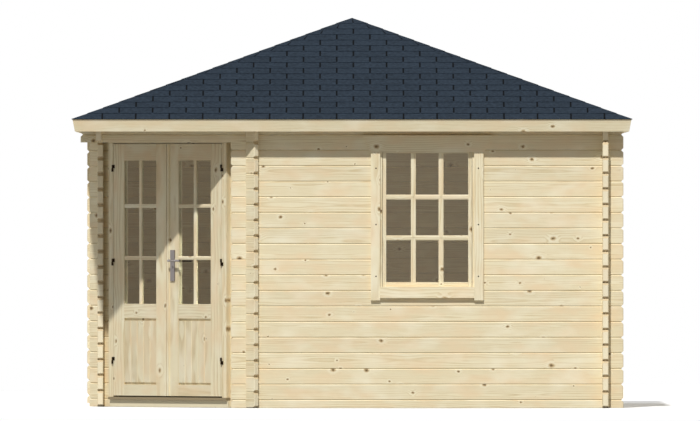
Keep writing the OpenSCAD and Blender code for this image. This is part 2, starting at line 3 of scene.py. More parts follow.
import bpy
import numpy as np
from mathutils import Matrix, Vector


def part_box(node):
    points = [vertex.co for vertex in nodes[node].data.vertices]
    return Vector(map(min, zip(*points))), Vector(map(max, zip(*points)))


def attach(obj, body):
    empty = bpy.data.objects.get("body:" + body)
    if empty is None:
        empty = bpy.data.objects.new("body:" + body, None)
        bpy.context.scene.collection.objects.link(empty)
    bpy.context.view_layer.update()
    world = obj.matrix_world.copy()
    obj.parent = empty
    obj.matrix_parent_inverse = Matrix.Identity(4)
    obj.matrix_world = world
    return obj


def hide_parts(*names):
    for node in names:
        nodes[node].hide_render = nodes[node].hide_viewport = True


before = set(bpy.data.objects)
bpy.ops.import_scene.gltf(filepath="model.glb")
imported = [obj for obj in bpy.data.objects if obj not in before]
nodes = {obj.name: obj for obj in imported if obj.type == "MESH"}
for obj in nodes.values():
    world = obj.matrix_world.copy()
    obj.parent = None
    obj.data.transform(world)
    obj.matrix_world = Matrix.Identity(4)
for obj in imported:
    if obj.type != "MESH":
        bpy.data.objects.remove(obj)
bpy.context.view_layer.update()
print("frame loaded,", len(nodes), "nodes")

mm = 0.001
root2 = math.sqrt(2)

# the summerhouse's own layout, in millimetres
house = {
    "outer": 1872.0,  # centre to the wall faces
    "logT": 44.0,
    "logH": 114.0,
    "wallH": 2166.0,
    "doorD": 1871.7,  # centre to the door wall's face
    "pitch": 20.37,  # degrees
    "deckT": 18.4,  # roof boards and the gap over them
    "eave": 2047.0,  # centre to the edge of the shingles
    "windowAt": 549.0,  # middle of a window from the middle of its wall
    "paneT": 4.0,
    "tuck": 8.0,  # how far panes and panels sit in their grooves
}

alongX = np.array([1.0, 0.0, 0.0])
alongY = np.array([0.0, 1.0, 0.0])
upward = np.array([0.0, 0.0, 1.0])
alongDoor = np.array([1.0, -1.0, 0.0]) / root2
outOfDoor = np.array([-1.0, -1.0, 0.0]) / root2


def linear(hexColour):
    # sRGB hex to the linear values that the shaders take
    part = np.array([int(hexColour[i:i + 2], 16) for i in (1, 3, 5)]) / 255
    value = np.where(part <= 0.04045, part / 12.92, ((part + 0.055) / 1.055) ** 2.4)
    return (*value.tolist(), 1.0)


def setInputs(tree, node, inputs):
    # each value is a constant or what another node gives
    for key, value in inputs.items():
        if isinstance(value, bpy.types.NodeSocket):
            tree.links.new(value, node.inputs[key])
        else:
            node.inputs[key].default_value = value


def addNode(tree, kind, inputs=None, **settings):
    node = tree.nodes.new("ShaderNode" + kind)
    for key, value in settings.items():
        setattr(node, key, value)
    setInputs(tree, node, inputs or {})
    return node


def calc(tree, operation, *values):
    return addNode(tree, "Math", dict(enumerate(values)), operation=operation).outputs[0]


def scaled(tree, colour, share):
    return addNode(tree, "VectorMath", {0: colour, "Scale": share}, operation="SCALE").outputs[0]


def shiftedBy(tree, value, reach, place):
    # place moved by value * reach
    return addNode(tree, "VectorMath", {0: value, 1: reach, 2: place}, operation="MULTIPLY_ADD").outputs[0]


def split(tree, vector):
    return addNode(tree, "SeparateXYZ", {0: vector}).outputs


def splitColour(tree, colour):
    return addNode(tree, "SeparateColor", {0: colour}).outputs


def ramp(tree, value, low, high, atLow, atHigh):
    # atLow up to low, atHigh from high on, an even slope between them
    return addNode(tree, "MapRange", {0: value, 1: low, 2: high, 3: atLow, 4: atHigh}).outputs[0]


def blend(tree, share, first, second):
    # the first colour at a share of 0, the second at 1
    return addNode(tree, "Mix", {0: share, 6: first, 7: second}, data_type="RGBA").outputs[2]


def noise(tree, place, perMetre, detail):
    # noise with its own scale along each axis
    drawn = addNode(tree, "Mapping", {"Vector": place, "Scale": perMetre}).outputs[0]
    return addNode(tree, "TexNoise", {"Vector": drawn, "Scale": 1.0, "Detail": detail}).outputs


def newMaterial(name):
    material = bpy.data.materials.new(name)
    material.use_nodes = True
    tree = material.node_tree
    return material, tree, tree.nodes["Principled BSDF"]


# Planed spruce, untreated: pale straw with soft growth lines, rosy and pale clouds, brown knots that
# the lines bend round, and a slightly different tone in every log. The pattern is solid, so the faces
# show long arches and the log ends show rings. Growth lines are drawn about three times coarser than
# real ones, which would be too fine to show. Ramps are (low, high, value at low, value at high).
woodLook = {
    "pale": "#F0E4C1",
    "line": "#C6AA74",
    "blush": "#EED6AE",  # rosy clouds
    "cream": "#FCF5DA",  # pale clouds, also round the knots
    "knot": "#4B3517",
    "bark": "#BD9A5C",  # ring round a knot
    "cutEnd": "#FFF4D6",
    "bevelShade": "#D6C29C",  # painted shade on the bevels over and under the log ends
    "seam": "#6B5230",  # between matchboards
    "ringMm": 9.0,
    "lateWood": (0.35, 0.85, 1.0),  # where in a ring the dark line starts, is darkest and ends
    "fibreMm": (150.0, 5.0),  # length and width
    "wanderMm": 26.0,  # how far the growth lines stray from straight
    "wanderPerM": (1.9, 9.0, 9.0),
    "pithMm": 70.0,  # spread of the tree's heart about the middle of the log
    "pithIn": 0.35,  # share of that spread which lies inwards, through the thickness
    "cloudMm": (260.0, 120.0),  # length and width of the clouds
    "rosy": (0.45, 0.7, 0.0, 0.8),  # by the cloud's noise
    "bright": (0.48, 0.75, 0.0, 0.55),
    "sawn": (0.9, 0.95, 0.0, 0.55),  # by how squarely a face lies across the grain
    "bevel": (0.3, 0.45, 0.0, 1.0),  # share of that painted shade: by that, times how level the face is
    "heightTone": (0.0, 1.0, 0.02, -0.02),  # tone by height in a log: a little paler towards its lower edge, painted shade on the bevel under it and a painted highlight on the bevel on top
    "footShade": (0.04, 0.07, -0.16, 0.0),  # darker on the bevel under it
    "browHighlight": (0.94, 0.96, 0.0, 0.1),  # and paler on the bevel on top
    "toneSwing": 0.07,
    "logStep": 1.37,  # from one log's random number to the next
    "logShift": (9.0, 9.0, 9.0),  # metres of pattern that the logs are spread over
    "seamMm": (0.8, 2.4),  # half width of a seam, dark part and whole
    "seamDark": 0.75,
    "relief": 0.15,
    "reliefMm": 0.6,
    "roughness": 0.62,
    "ior": 1.45,
}
knotLook = {
    "sizeMm": 14.0,
    "apartMm": 180.0,
    "least": 0.0005,  # smallest radius, as a share of the distance apart
    "leftOut": 0.3,  # share of places without a knot
    "stretch": 1.35,  # knots are cut a little along the grain
    "wobbleMm": 13.0,
    "wobblePerM": 60.0,
    "heart": (0.3, 1.0, 0.85, 0.0),  # these are ramps by the distance in knot radii
    "bark": (0.8, 1.7, 0.75, 0.0),
    "halo": (1.4, 3.2, 0.55, 0.0),
    "swirl": (0.5, 4.0, 0.014, 0.0),  # metres that the growth lines are pushed aside
}


def grainPlace(tree, place, along, face, middle, crossed):
    # brings the grain onto x, the board's thickness onto y and its width onto z; for pieces that run
    # across the others x and z change places, and the second value is 1 on those
    turn = Matrix([along.tolist(), face.tolist(), np.cross(along, face).tolist()]).to_euler()
    shift = (0, -middle * mm, 0)
    place = addNode(tree, "Mapping", {"Vector": place, "Rotation": turn, "Location": shift}).outputs[0]
    if not crossed:
        return place, None
    x, y, z = split(tree, place)
    away = calc(tree, "ABSOLUTE", calc(tree, "SUBTRACT", z, crossed["centre"] * mm))
    middleOf = (crossed["from"] + crossed["to"]) / 2 * mm
    reach = (crossed["to"] - crossed["from"]) / 2 * mm
    across = calc(tree, "COMPARE", away, middleOf, reach)
    if "above" in crossed:
        over = calc(tree, "GREATER_THAN", x, crossed["above"] * mm)
        across = calc(tree, "MAXIMUM", across, over)
    swapped = addNode(tree, "CombineXYZ", {0: z, 1: y, 2: x}).outputs[0]
    place = addNode(tree, "Mix", {0: across, 4: place, 5: swapped}, data_type="VECTOR").outputs[1]
    return place, across


def knotMasks(tree, place):
    # knots: branches that run through the thickness, of all sizes, one to a cell and some left out;
    # a mask for each part of a knot comes from the distance to its middle in knot radii
    look = knotLook
    axes = split(tree, place)
    along = calc(tree, "DIVIDE", axes["X"], look["stretch"])
    flat = addNode(tree, "CombineXYZ", {0: along, 1: axes["Z"]}).outputs[0]
    wobble = addNode(tree, "TexNoise", {"Vector": place, "Scale": look["wobblePerM"], "Detail": 2.0})
    push = look["wobbleMm"] * mm
    bent = shiftedBy(tree, wobble.outputs["Color"], (push, push, 0), flat)
    perMetre = 1 / (look["apartMm"] * mm)
    cell = addNode(tree, "TexVoronoi", {"Vector": bent, "Scale": perMetre}, voronoi_dimensions="2D").outputs
    size = splitColour(tree, cell["Color"])[0]
    radius = ramp(tree, size, look["leftOut"], 1.0, look["least"], look["sizeMm"] / look["apartMm"])
    fromKnot = calc(tree, "DIVIDE", cell["Distance"], radius)
    return [ramp(tree, fromKnot, *look[mask]) for mask in ("heart", "bark", "halo", "swirl")]


def growthLines(tree, place, thick, across, chance, swirl):
    # distance from the tree's heart, which strays along the log and round the knots, cut into rings
    # that darken slowly and end sharply, then broken up by fibres
    look = woodLook
    spread = look["pithMm"] * mm
    heartY = calc(tree, "MULTIPLY_ADD", chance[0], spread, -spread * look["pithIn"])
    heartZ = calc(tree, "MULTIPLY_ADD", chance[1], spread, -spread / 2)
    fromY = calc(tree, "ADD", thick, heartY)
    fromZ = calc(tree, "ADD", across, heartZ)
    ringAt = addNode(tree, "CombineXYZ", {1: fromY, 2: fromZ}).outputs[0]
    radial = addNode(tree, "VectorMath", {0: ringAt}, operation="LENGTH").outputs["Value"]
    wander = noise(tree, place, look["wanderPerM"], 2.0)["Fac"]
    strayed = calc(tree, "MULTIPLY_ADD", wander, look["wanderMm"] * mm, radial)
    strayed = calc(tree, "ADD", strayed, swirl)
    ring = calc(tree, "FRACT", calc(tree, "MULTIPLY", strayed, 1 / (look["ringMm"] * mm)))
    late = addNode(tree, "ValToRGB", {0: ring})
    start, darkest, end = look["lateWood"]
    stops = late.color_ramp.elements
    stops[0].position = start
    stops[0].color = (0, 0, 0, 1)
    stops[1].position = end
    stops[1].color = (0, 0, 0, 1)
    stops.new(darkest).color = (1, 1, 1, 1)
    fibreLong, fibreWide = [1 / (size * mm) for size in look["fibreMm"]]
    fibre = noise(tree, place, (fibreLong, fibreWide, fibreWide), 3.0)["Fac"]
    return calc(tree, "MULTIPLY", late.outputs[0], fibre)


def spruce(name, along, face, course=None, seam=False, middle=0.0, crossed=None, seed=0.0, tint=1.0):
    # course is (width, phase) of the separate logs or boards, seam draws a dark line between them,
    # middle is where the wall's mid plane lies, crossed says where pieces run across the others
    look = woodLook
    levelLogs = course and along[2] == 0 and face[2] == 0
    material, tree, shader = newMaterial(name)
    source = addNode(tree, "TexCoord").outputs
    place, key = grainPlace(tree, source["Object"], along, face, middle, crossed)
    axes = split(tree, place)
    thick = axes["Y"]
    across = axes["Z"]
    if course:
        width, phase = course
        steps = calc(tree, "MULTIPLY_ADD", across, 1 / (width * mm), phase)
        key = calc(tree, "FLOOR", steps)
        inCourse = calc(tree, "FRACT", steps)
        across = calc(tree, "MULTIPLY_ADD", inCourse, width * mm, -width * mm / 2)

    # random numbers of the log give it its own stretch of the pattern and its own tone
    number = seed
    if key is not None:
        number = calc(tree, "MULTIPLY_ADD", key, look["logStep"], seed)
    draw = addNode(tree, "TexWhiteNoise", {"W": number}, noise_dimensions="1D").outputs["Color"]
    chance = splitColour(tree, draw)
    place = shiftedBy(tree, draw, look["logShift"], place)
    heart, bark, halo, swirl = knotMasks(tree, place)
    figure = growthLines(tree, place, thick, across, chance, swirl)
    colour = blend(tree, figure, linear(look["pale"]), linear(look["line"]))

    cloudLong, cloudWide = [1 / (size * mm) for size in look["cloudMm"]]
    cloud = splitColour(tree, noise(tree, place, (cloudLong, cloudWide, cloudWide), 2.0)["Color"])
    rosy = ramp(tree, cloud[0], *look["rosy"])
    colour = blend(tree, rosy, colour, linear(look["blush"]))
    bright = calc(tree, "MAXIMUM", ramp(tree, cloud[1], *look["bright"]), halo)
    colour = blend(tree, bright, colour, linear(look["cream"]))
    colour = blend(tree, bark, colour, linear(look["bark"]))
    colour = blend(tree, heart, colour, linear(look["knot"]))

    # freshly sawn ends are paler than the planed faces
    toGrain = {0: source["Normal"], 1: along.tolist()}
    facing = addNode(tree, "VectorMath", toGrain, operation="DOT_PRODUCT").outputs["Value"]
    facing = calc(tree, "ABSOLUTE", facing)
    colour = blend(tree, ramp(tree, facing, *look["sawn"]), colour, linear(look["cutEnd"]))
    swing = look["toneSwing"] / 2
    tone = ramp(tree, chance[2], 0.0, 1.0, tint - swing, tint + swing)
    # painted shade: a darker tone on the bevels over and under the log ends, and in each log painted shade on
    # its lower bevel and a painted highlight on its upper bevel
    if levelLogs:
        steep = calc(tree, "ABSOLUTE", split(tree, source["Normal"])["Z"])
        bevel = ramp(tree, calc(tree, "MULTIPLY", facing, steep), *look["bevel"])
        colour = blend(tree, bevel, colour, linear(look["bevelShade"]))
        for band in ("heightTone", "footShade", "browHighlight"):
            tone = calc(tree, "ADD", tone, ramp(tree, inCourse, *look[band]))
    colour = scaled(tree, colour, tone)
    if seam:
        edge = calc(tree, "PINGPONG", inCourse, 0.5)
        dark, whole = [size / width for size in look["seamMm"]]
        gap = ramp(tree, edge, dark, whole, look["seamDark"], 0.0)
        colour = blend(tree, gap, colour, linear(look["seam"]))
    lift = {"Strength": look["relief"], "Distance": look["reliefMm"] * mm, "Height": figure}
    relief = addNode(tree, "Bump", lift).outputs[0]
    setInputs(tree, shader, {"Base Color": colour, "Normal": relief, "Roughness": look["roughness"],
                             "IOR": look["ior"]})
    return material


logH = house["logH"]
wallMid = house["outer"] - house["logT"] / 2
doorMid = house["doorD"] - house["logT"] / 2
halfCourse = (logH, 0.5)
fullCourse = (logH, 0.0)
frontLogs = spruce("spruce logs of the front", alongX, alongY, halfCourse, middle=-wallMid, seed=1.0)
backLogs = spruce("spruce logs of the back", alongX, alongY, halfCourse, middle=wallMid, seed=2.0)
leftLogs = spruce("spruce logs of the left side", alongY, -alongX, fullCourse, middle=wallMid, seed=3.0)
rightLogs = spruce("spruce logs of the right side", alongY, -alongX, fullCourse, middle=-wallMid, seed=4.0)
stubLogs = spruce("spruce logs left of the door", alongDoor, -outOfDoor, halfCourse,
                  middle=-doorMid, seed=5.0)
doorLogs = spruce("spruce logs right of the door", alongDoor, -outOfDoor, fullCourse,
                  middle=-doorMid, seed=6.0)
boardsX = spruce("spruce boards across", alongX, alongY, seed=7.0)
boardsY = spruce("spruce boards front to back", alongY, -alongX, seed=8.0)
boardsU = spruce("spruce door head and hips", alongDoor, outOfDoor, seed=9.0)
# painted light: the fascia's wood is tinted paler than the other boards, standing in for light that its
# downward tilt keeps off
fasciaXLightened = spruce("spruce fascia across", alongX, alongY, seed=7.4, tint=1.08)
fasciaYLightened = spruce("spruce fascia front to back", alongY, -alongX, seed=8.4, tint=1.08)
posts = spruce("spruce posts", upward, outOfDoor, seed=10.0)

matchboard = (90.0, 0.0)
deckX = spruce("matchboards across", alongX, upward, matchboard, True, seed=11.0, tint=0.96)
deckY = spruce("matchboards front to back", alongY, upward, matchboard, True, seed=12.0, tint=0.96)

# floor planks between the walls; the door wall cuts them off where x + y = -cut
planks = {"width": 114.0, "gap": 1.5, "edge": 1820.0, "cut": 2545.2}
plankCourse = (planks["width"], planks["edge"] / planks["width"])
floorPlanks = spruce("floor planks", alongX, upward, plankCourse, seed=13.0, tint=0.95)

# boards between the stiles of a door, measured from the meeting line
leafBoards = {"inner": 116.0, "outer": 452.5, "count": 5, "gap": 0.4}
boardStart = leafBoards["inner"] + leafBoards["gap"]
boardEnd = leafBoards["outer"] - leafBoards["gap"]
boardWidth = (boardEnd - boardStart) / leafBoards["count"]
doorHands = {"left": -1, "right": 1}
leafFrame = spruce("spruce door frames", upward, outOfDoor, seed=14.0, tint=0.96,
                   crossed={"centre": 0.0, "from": leafBoards["inner"], "to": leafBoards["outer"]})
panelFinish = {}
for word, hand in doorHands.items():
    leafCourse = (boardWidth, -hand * boardStart / boardWidth)
    panelFinish[word] = spruce("spruce boards of the " + word + " door", upward, outOfDoor, leafCourse,
                               seed=15.0 + hand / 4, tint=0.89)

# half widths between the uprights of a window, and the height where its casing's top piece starts
windowEdges = {"lining": 329.0, "casing": 343.8, "casingTop": 1867.2, "sash": 299.4}


def windowSpruce(name, face, centre, seed):
    # uprights at the sides; all that lies between or over them is level
    level = {part: {"centre": centre, "from": 0.0, "to": windowEdges[part]}
             for part in ("lining", "casing", "sash")}
    level["casing"]["above"] = windowEdges["casingTop"]
    return {
        "lining": spruce(name + " lining", upward, face, seed=seed, crossed=level["lining"]),
        "casing": spruce(name + " casing", upward, face, seed=seed + 0.3, tint=1.05, crossed=level["casing"]),
        "sash": spruce(name + " sash", upward, face, seed=seed + 0.6, crossed=level["sash"]),
    }


frontWood = windowSpruce("spruce front window", -alongY, house["windowAt"], 16.0)
leftWood = windowSpruce("spruce left window", -alongX, -house["windowAt"], 18.0)


def plainFinish(name, hexColour, roughness, metallic=0.0, specular=0.5):
    material, tree, shader = newMaterial(name)
    setInputs(tree, shader, {"Base Color": linear(hexColour), "Roughness": roughness, "Metallic": metallic,
                             "Specular IOR Level": specular})
    return material


# oiled hardwood sill, brown and matt, on a pale spruce apron
sillLook = {"nose": "#918162", "apron": "#F0E4C2", "apronTop": 51.0, "roughness": 0.6}
sillWood, sillTree, sillShader = newMaterial("oiled hardwood sill")
sillHeight = split(sillTree, addNode(sillTree, "TexCoord").outputs["Object"])["Z"]
sillNose = calc(sillTree, "GREATER_THAN", sillHeight, sillLook["apronTop"] * mm)
sillTone = blend(sillTree, sillNose, linear(sillLook["apron"]), linear(sillLook["nose"]))
setInputs(sillTree, sillShader, {"Base Color": sillTone, "Roughness": sillLook["roughness"]})

# black oxide steel hinges and screws: almost black, a little brown, with a faint shine
hingeSteel = plainFinish("black oxide steel", "#2E2418", 0.55, 1.0)
# die-cast zinc handle, brushed: mid grey with a broad shine
handleZinc = plainFinish("brushed zinc", "#86807E", 0.38, 1.0)
# the dark layer under the shingles, seen in the slots between tabs
feltBlack = plainFinish("bitumen felt", "#05070A", 0.95, specular=0.05)


def clearGlass(name, ior, sheen):
    # sharp reflections in the sheen's colour; lamps shine through it into the room
    clear = linear("#EEF0EA")
    material, tree, shader = newMaterial(name)
    setInputs(tree, shader, {"Base Color": clear, "Roughness": 0.0, "IOR": ior,
                             "Specular Tint": linear(sheen), "Transmission Weight": 1.0})
    shadowRay = addNode(tree, "LightPath").outputs["Is Shadow Ray"]
    through = addNode(tree, "BsdfTransparent", {"Color": clear}).outputs[0]
    mixed = addNode(tree, "MixShader", {0: shadowRay, 1: shader.outputs[0], 2: through}).outputs[0]
    setInputs(tree, tree.nodes["Material Output"], {"Surface": mixed})
    return material


# coated float glass in the windows: its coating reflects a little more than bare glass does
windowGlass = clearGlass("coated float glass", 1.76, "#FFE6C6")
# plain float glass in the doors
leafGlass = clearGlass("float glass", 1.53, "#FFDCAE")

# mineral-faced bitumen shingle: slate blue grit that scatters all light, each tab a little different;
# the grit is drawn coarser than its real millimetre
shingleLook = {"colour": "#252E38", "gritMm": 24.0, "swing": 0.14, "speckle": 1.5, "relief": 0.3,
               "reliefMm": 1.0, "roughness": 0.95, "specular": 0.05}
shingleGrit, gritTree, gritShader = newMaterial("slate blue mineral shingle")
gritPlace = addNode(gritTree, "TexCoord").outputs["Object"]
gritSize = {"Vector": gritPlace, "Scale": 1 / (shingleLook["gritMm"] * mm), "Detail": 4.0}
grit = addNode(gritTree, "TexNoise", gritSize).outputs["Fac"]
tabTone = addNode(gritTree, "Attribute", attribute_name="tone").outputs["Fac"]
gritTone = calc(gritTree, "MULTIPLY_ADD", grit, shingleLook["speckle"], tabTone)
gritColour = scaled(gritTree, linear(shingleLook["colour"])[:3], gritTone)
gritLift = {"Strength": shingleLook["relief"], "Distance": shingleLook["reliefMm"] * mm, "Height": grit}
gritRelief = addNode(gritTree, "Bump", gritLift).outputs[0]
setInputs(gritTree, gritShader, {"Base Color": gritColour, "Normal": gritRelief,
                                 "Roughness": shingleLook["roughness"],
                                 "Specular IOR Level": shingleLook["specular"]})
print("materials made")


# finishes of the solids
nodeFinish = {
    "front_wall": frontLogs, "back_wall": backLogs, "left_wall": leftLogs, "right_wall": rightLogs,
    "door_wall_left": stubLogs, "door_base_log": stubLogs, "door_wall_right": doorLogs,
    "door_wall_gable": doorLogs, "floor_bearers": boardsX, "floor_deck": floorPlanks,
    "door_jamb_left": posts, "door_jamb_right": posts, "door_head": boardsU, "door_sill": sillWood,
    "frame_hinges": hingeSteel, "left_leaf_hinges": hingeSteel, "right_leaf_hinges": hingeSteel,
    "handle_plates": handleZinc, "door_lever": handleZinc, "hip_rafters": boardsU,
    "common_rafters": boardsX, "rafter_hub": posts, "left_leaf": leafFrame, "right_leaf": leafFrame,
    "left_leaf_panel": panelFinish["left"], "right_leaf_panel": panelFinish["right"],
    "left_leaf_glass": leafGlass, "right_leaf_glass": leafGlass,
    "front_window_glass": windowGlass, "left_window_glass": windowGlass,
    "roof_boards_front": deckX, "roof_boards_back": deckX,
    "roof_boards_left": deckY, "roof_boards_right": deckY,
    "fascia_front": fasciaXLightened, "fascia_back": fasciaXLightened, "fascia_left": fasciaYLightened, "fascia_right": fasciaYLightened,
}
for part in ("lining", "casing", "sash"):
    nodeFinish["front_window_" + part] = frontWood[part]
    nodeFinish["left_window_" + part] = leftWood[part]
for name, solid in nodes.items():
    solid.data.materials.clear()
    solid.data.materials.append(nodeFinish.get(name, boardsX))
print("solids finished")


def putPiece(name, meshes, finishes, body, instead=()):
    # meshes is a list of (points in millimetres, arrays of faces, number of the finish), joined into
    # one piece; an array holds faces with equally many corners
    allPoints = np.concatenate([points for points, faces, kind in meshes]) * mm
    allFaces = []
    kinds = []
    start = 0
    for points, faces, kind in meshes:
        for alike in faces:
            allFaces += (alike + start).tolist()
            kinds += [kind] * len(alike)
        start += len(points)
    mesh = bpy.data.meshes.new(name)
    mesh.from_pydata(allPoints.tolist(), [], allFaces)
    for finish in finishes:
        mesh.materials.append(finish)
    mesh.polygons.foreach_set("material_index", kinds)
    mesh.update()
    piece = bpy.data.objects.new(name, mesh)
    bpy.context.scene.collection.objects.link(piece)
    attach(piece, body)
    if instead:
        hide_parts(*instead)
    return piece


def repeated(faces, count, step):
    # the same faces for count copies of a shape with step points each
    return (faces[None] + step * np.arange(count)[:, None, None]).reshape(-1, faces.shape[1])


def blocks(lower, upper):
    # many blocks at once: lower and upper are (count, 4, 3), both anticlockwise seen from above
    points = np.concatenate([lower, upper], axis=1)
    one = np.array([[3, 2, 1, 0], [4, 5, 6, 7], [0, 1, 5, 4], [1, 2, 6, 5], [2, 3, 7, 6], [3, 0, 4, 7]])
    return points.reshape(-1, 3), [repeated(one, len(lower), points.shape[1])]


def sweep(section, start, end, sideways, outwards):
    # a closed section, anticlockwise seen against the run, carried straight from start to end
    count = len(section)
    offset = section[:, :1] * sideways + section[:, 1:] * outwards
    points = np.concatenate([start + offset, end + offset])
    i = np.arange(count)
    j = (i + 1) % count
    walls = np.stack([i, j, j + count, i + count], axis=1)
    ends = np.stack([i[::-1], i + count])
    return points, [walls, ends]


def nodeBox(name):
    # lower and upper corner of a solid, in millimetres
    return [np.array(corner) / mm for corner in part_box(name)]


# Shingles: rows of tabs down each slope, alternate rows set over by half a tab, cut on the hips
shingle = {
    "showing": 121.0,  # depth of a row that shows
    "tab": 244.3,
    "slot": 12.0,
    "offset": 10.0,  # where the slots stand from the middle of the slope
    "eachWay": 10,  # columns on each side of the middle, more than are needed
    "lap": 30.0,  # how far a tab runs under the next row
    "butt": 2.9,  # thickness of the lower edge
    "edgeH": 6.0,  # height over the boards at which the lowest row meets the eave line
    "play": 0.2,  # between felt and tabs
    "sinkUnder": 0.9,  # how far a tab's upper edge dips, below
    "sinkOver": 0.4,  # and on top
    "feltFoot": 0.1,
    "felt": 1.4,
    "feltBack": 0.5,  # how far the felt stays behind the lowest tabs
    "feltLap": 0.6,  # how far the felt runs over the hip onto the next slope
    "seed": 4,
}
pitch = math.radians(house["pitch"])


def slopePoint(x, s, h, side):
    # x along the eave, s down the slope from the peak, h square to the slope above the boards'
    # underside; the front slope is turned a quarter for each further side
    peak = house["wallH"] + (house["outer"] - house["logT"]) * math.tan(pitch)
    y = -s * math.cos(pitch) - h * math.sin(pitch)
    z = peak - s * math.sin(pitch) + h * math.cos(pitch)
    turn = math.pi / 2 * side
    spin = np.array([[math.cos(turn), math.sin(turn), 0], [-math.sin(turn), math.cos(turn), 0], [0, 0, 1]])
    return np.stack([x, y, z], axis=-1) @ spin


def hipLimit(s, h, lap=0.0):
    # half the slope's width at that distance down, where it meets its neighbours
    return np.maximum(s * math.cos(pitch) + h * math.sin(pitch), 0.0) + lap


def slopeCorners(left, right, low, high, hLow, hHigh, side, lap=0.0):
    # four corners of each tab, cut off at the hips and at the peak
    hLow = np.full_like(low, hLow)
    hHigh = np.full_like(low, hHigh)
    high = np.maximum(high, -hHigh * math.tan(pitch))
    wideLow = hipLimit(low, hLow, lap)
    wideHigh = hipLimit(high, hHigh, lap)
    return np.stack([
        slopePoint(np.clip(left, -wideLow, wideLow), low, hLow, side),
        slopePoint(np.clip(right, -wideLow, wideLow), low, hLow, side),
        slopePoint(np.clip(right, -wideHigh, wideHigh), high, hHigh, side),
        slopePoint(np.clip(left, -wideHigh, wideHigh), high, hHigh, side)], axis=1)


def shingleSlope(word, side):
    # row r ends at edge - r * showing down the slope; column c starts at c tabs from the middle, and
    # half a tab further in every other row
    look = shingle
    base = house["deckT"]
    edge = (house["eave"] - (base + look["edgeH"]) * math.sin(pitch)) / math.cos(pitch)
    rows = np.arange(int(edge // look["showing"]) + 1)
    columns = np.arange(-look["eachWay"], look["eachWay"] + 1)
    row, column = [grid.ravel() for grid in np.meshgrid(rows, columns, indexing="ij")]
    low = edge - row * look["showing"]
    high = low - look["showing"] - look["lap"]
    left = (column + 0.5 * ((row + 1) % 2)) * look["tab"] + look["offset"] + look["slot"] / 2
    right = left + look["tab"] - look["slot"]
    wide = hipLimit(low, base)
    kept = (left < wide) & (right > -wide)
    low, high, left, right = low[kept], high[kept], left[kept], right[kept]
    bed = base + look["felt"] + look["play"]
    under = slopeCorners(left, right, low, high, bed, bed - look["sinkUnder"], side)
    over = slopeCorners(left, right, low, high, bed + look["butt"], bed - look["sinkOver"], side)

    # the felt is one block, cut to the slope's triangle
    span = np.array([house["eave"]])
    end = np.array([edge - look["feltBack"]])
    peak = np.array([-edge])
    feltUnder, feltOver = [slopeCorners(-span, span, end, peak, base + h, base + h, side, look["feltLap"])
                           for h in (look["feltFoot"], look["felt"])]
    cover = putPiece("shingle_tabs_" + word, [(*blocks(under, over), 0), (*blocks(feltUnder, feltOver), 1)],
                     [shingleGrit, feltBlack], "cabin", ["shingles_" + word])
    draw = np.random.default_rng(look["seed"] + side)
    tones = 1 - shingleLook["speckle"] / 2 + shingleLook["swing"] * (draw.random(len(low)) - 0.5)
    pointTones = np.concatenate([np.repeat(tones, under.shape[1] + over.shape[1]),
                                 np.ones(feltUnder.shape[1] + feltOver.shape[1])])
    tone = cover.data.attributes.new("tone", "FLOAT", "POINT")
    tone.data.foreach_set("value", pointTones.astype(np.float32))


for side, word in enumerate(["front", "right", "back", "left"]):
    shingleSlope(word, side)
print("shingles laid")


# Floor planks: plank n starts n widths from the edge, its left end is on the edge or on the cut
deckLow, deckHigh = nodeBox("floor_deck")
y0 = np.arange(-planks["edge"], planks["edge"], planks["width"]) + planks["gap"] / 2
y1 = np.minimum(y0 + planks["width"] - planks["gap"], planks["edge"])
leftEnd0 = np.maximum(-planks["edge"], -planks["cut"] - y0)
leftEnd1 = np.maximum(-planks["edge"], -planks["cut"] - y1)
rightEnd = np.full_like(y0, planks["edge"])
plankX = np.stack([leftEnd0, rightEnd, rightEnd, leftEnd1], axis=1)
plankY = np.stack([y0, y0, y1, y1], axis=1)
plankUnder, plankOver = [np.stack([plankX, plankY, np.full_like(plankX, z)], axis=-1)
                         for z in (deckLow[2], deckHigh[2])]
putPiece("floor_planks", [(*blocks(plankUnder, plankOver), 0)], [floorPlanks], "cabin",
         ["floor_deck"])
print("floor planks laid")


# Glazing bars: an arched bead on both faces of the glass
windowBars = {"width": 36.0, "deep": 12.5, "edge": 3.0, "proud": 0.4}
doorBars = {"width": 28.0, "deep": 9.5, "edge": 3.0, "proud": 0.4}


def barSection(look):
    # flat back and upright sides; height = deep - edge * (1 - sin(pi * t)) squared, t from 0 to 1 across
    t = np.linspace(0, 1, 9)
    arch = look["deep"] - look["edge"] * (1 - np.sin(np.pi * t)) ** 2
    top = np.stack([(t - 0.5) * look["width"], arch], axis=1)[::-1]
    return np.concatenate([[[-look["width"] / 2, 0.0], [look["width"] / 2, 0.0]], top])


def glazingBars(name, look, origin, sideways, outwards, grid, levelFinish, body):
    # uprights run the full height and level bars cross them; origin is a point in the glass
    section = barSection(look)
    lift = house["paneT"] / 2 + look["proud"]
    runs = [((x, grid["z0"]), (x, grid["z1"]), 0) for x in grid["uprights"]]
    runs += [((grid["x0"], z), (grid["x1"], z), 1) for z in grid["levels"]]
    meshes = []
    for out in (outwards, -outwards):
        for start, end, kind in runs:
            first = origin + sideways * start[0] + upward * start[1] + out * lift
            last = origin + sideways * end[0] + upward * end[1] + out * lift
            run = (last - first) / np.linalg.norm(last - first)
            meshes.append((*sweep(section, first, last, np.cross(out, run), out), kind))
    putPiece(name, meshes, [posts, levelFinish], body)


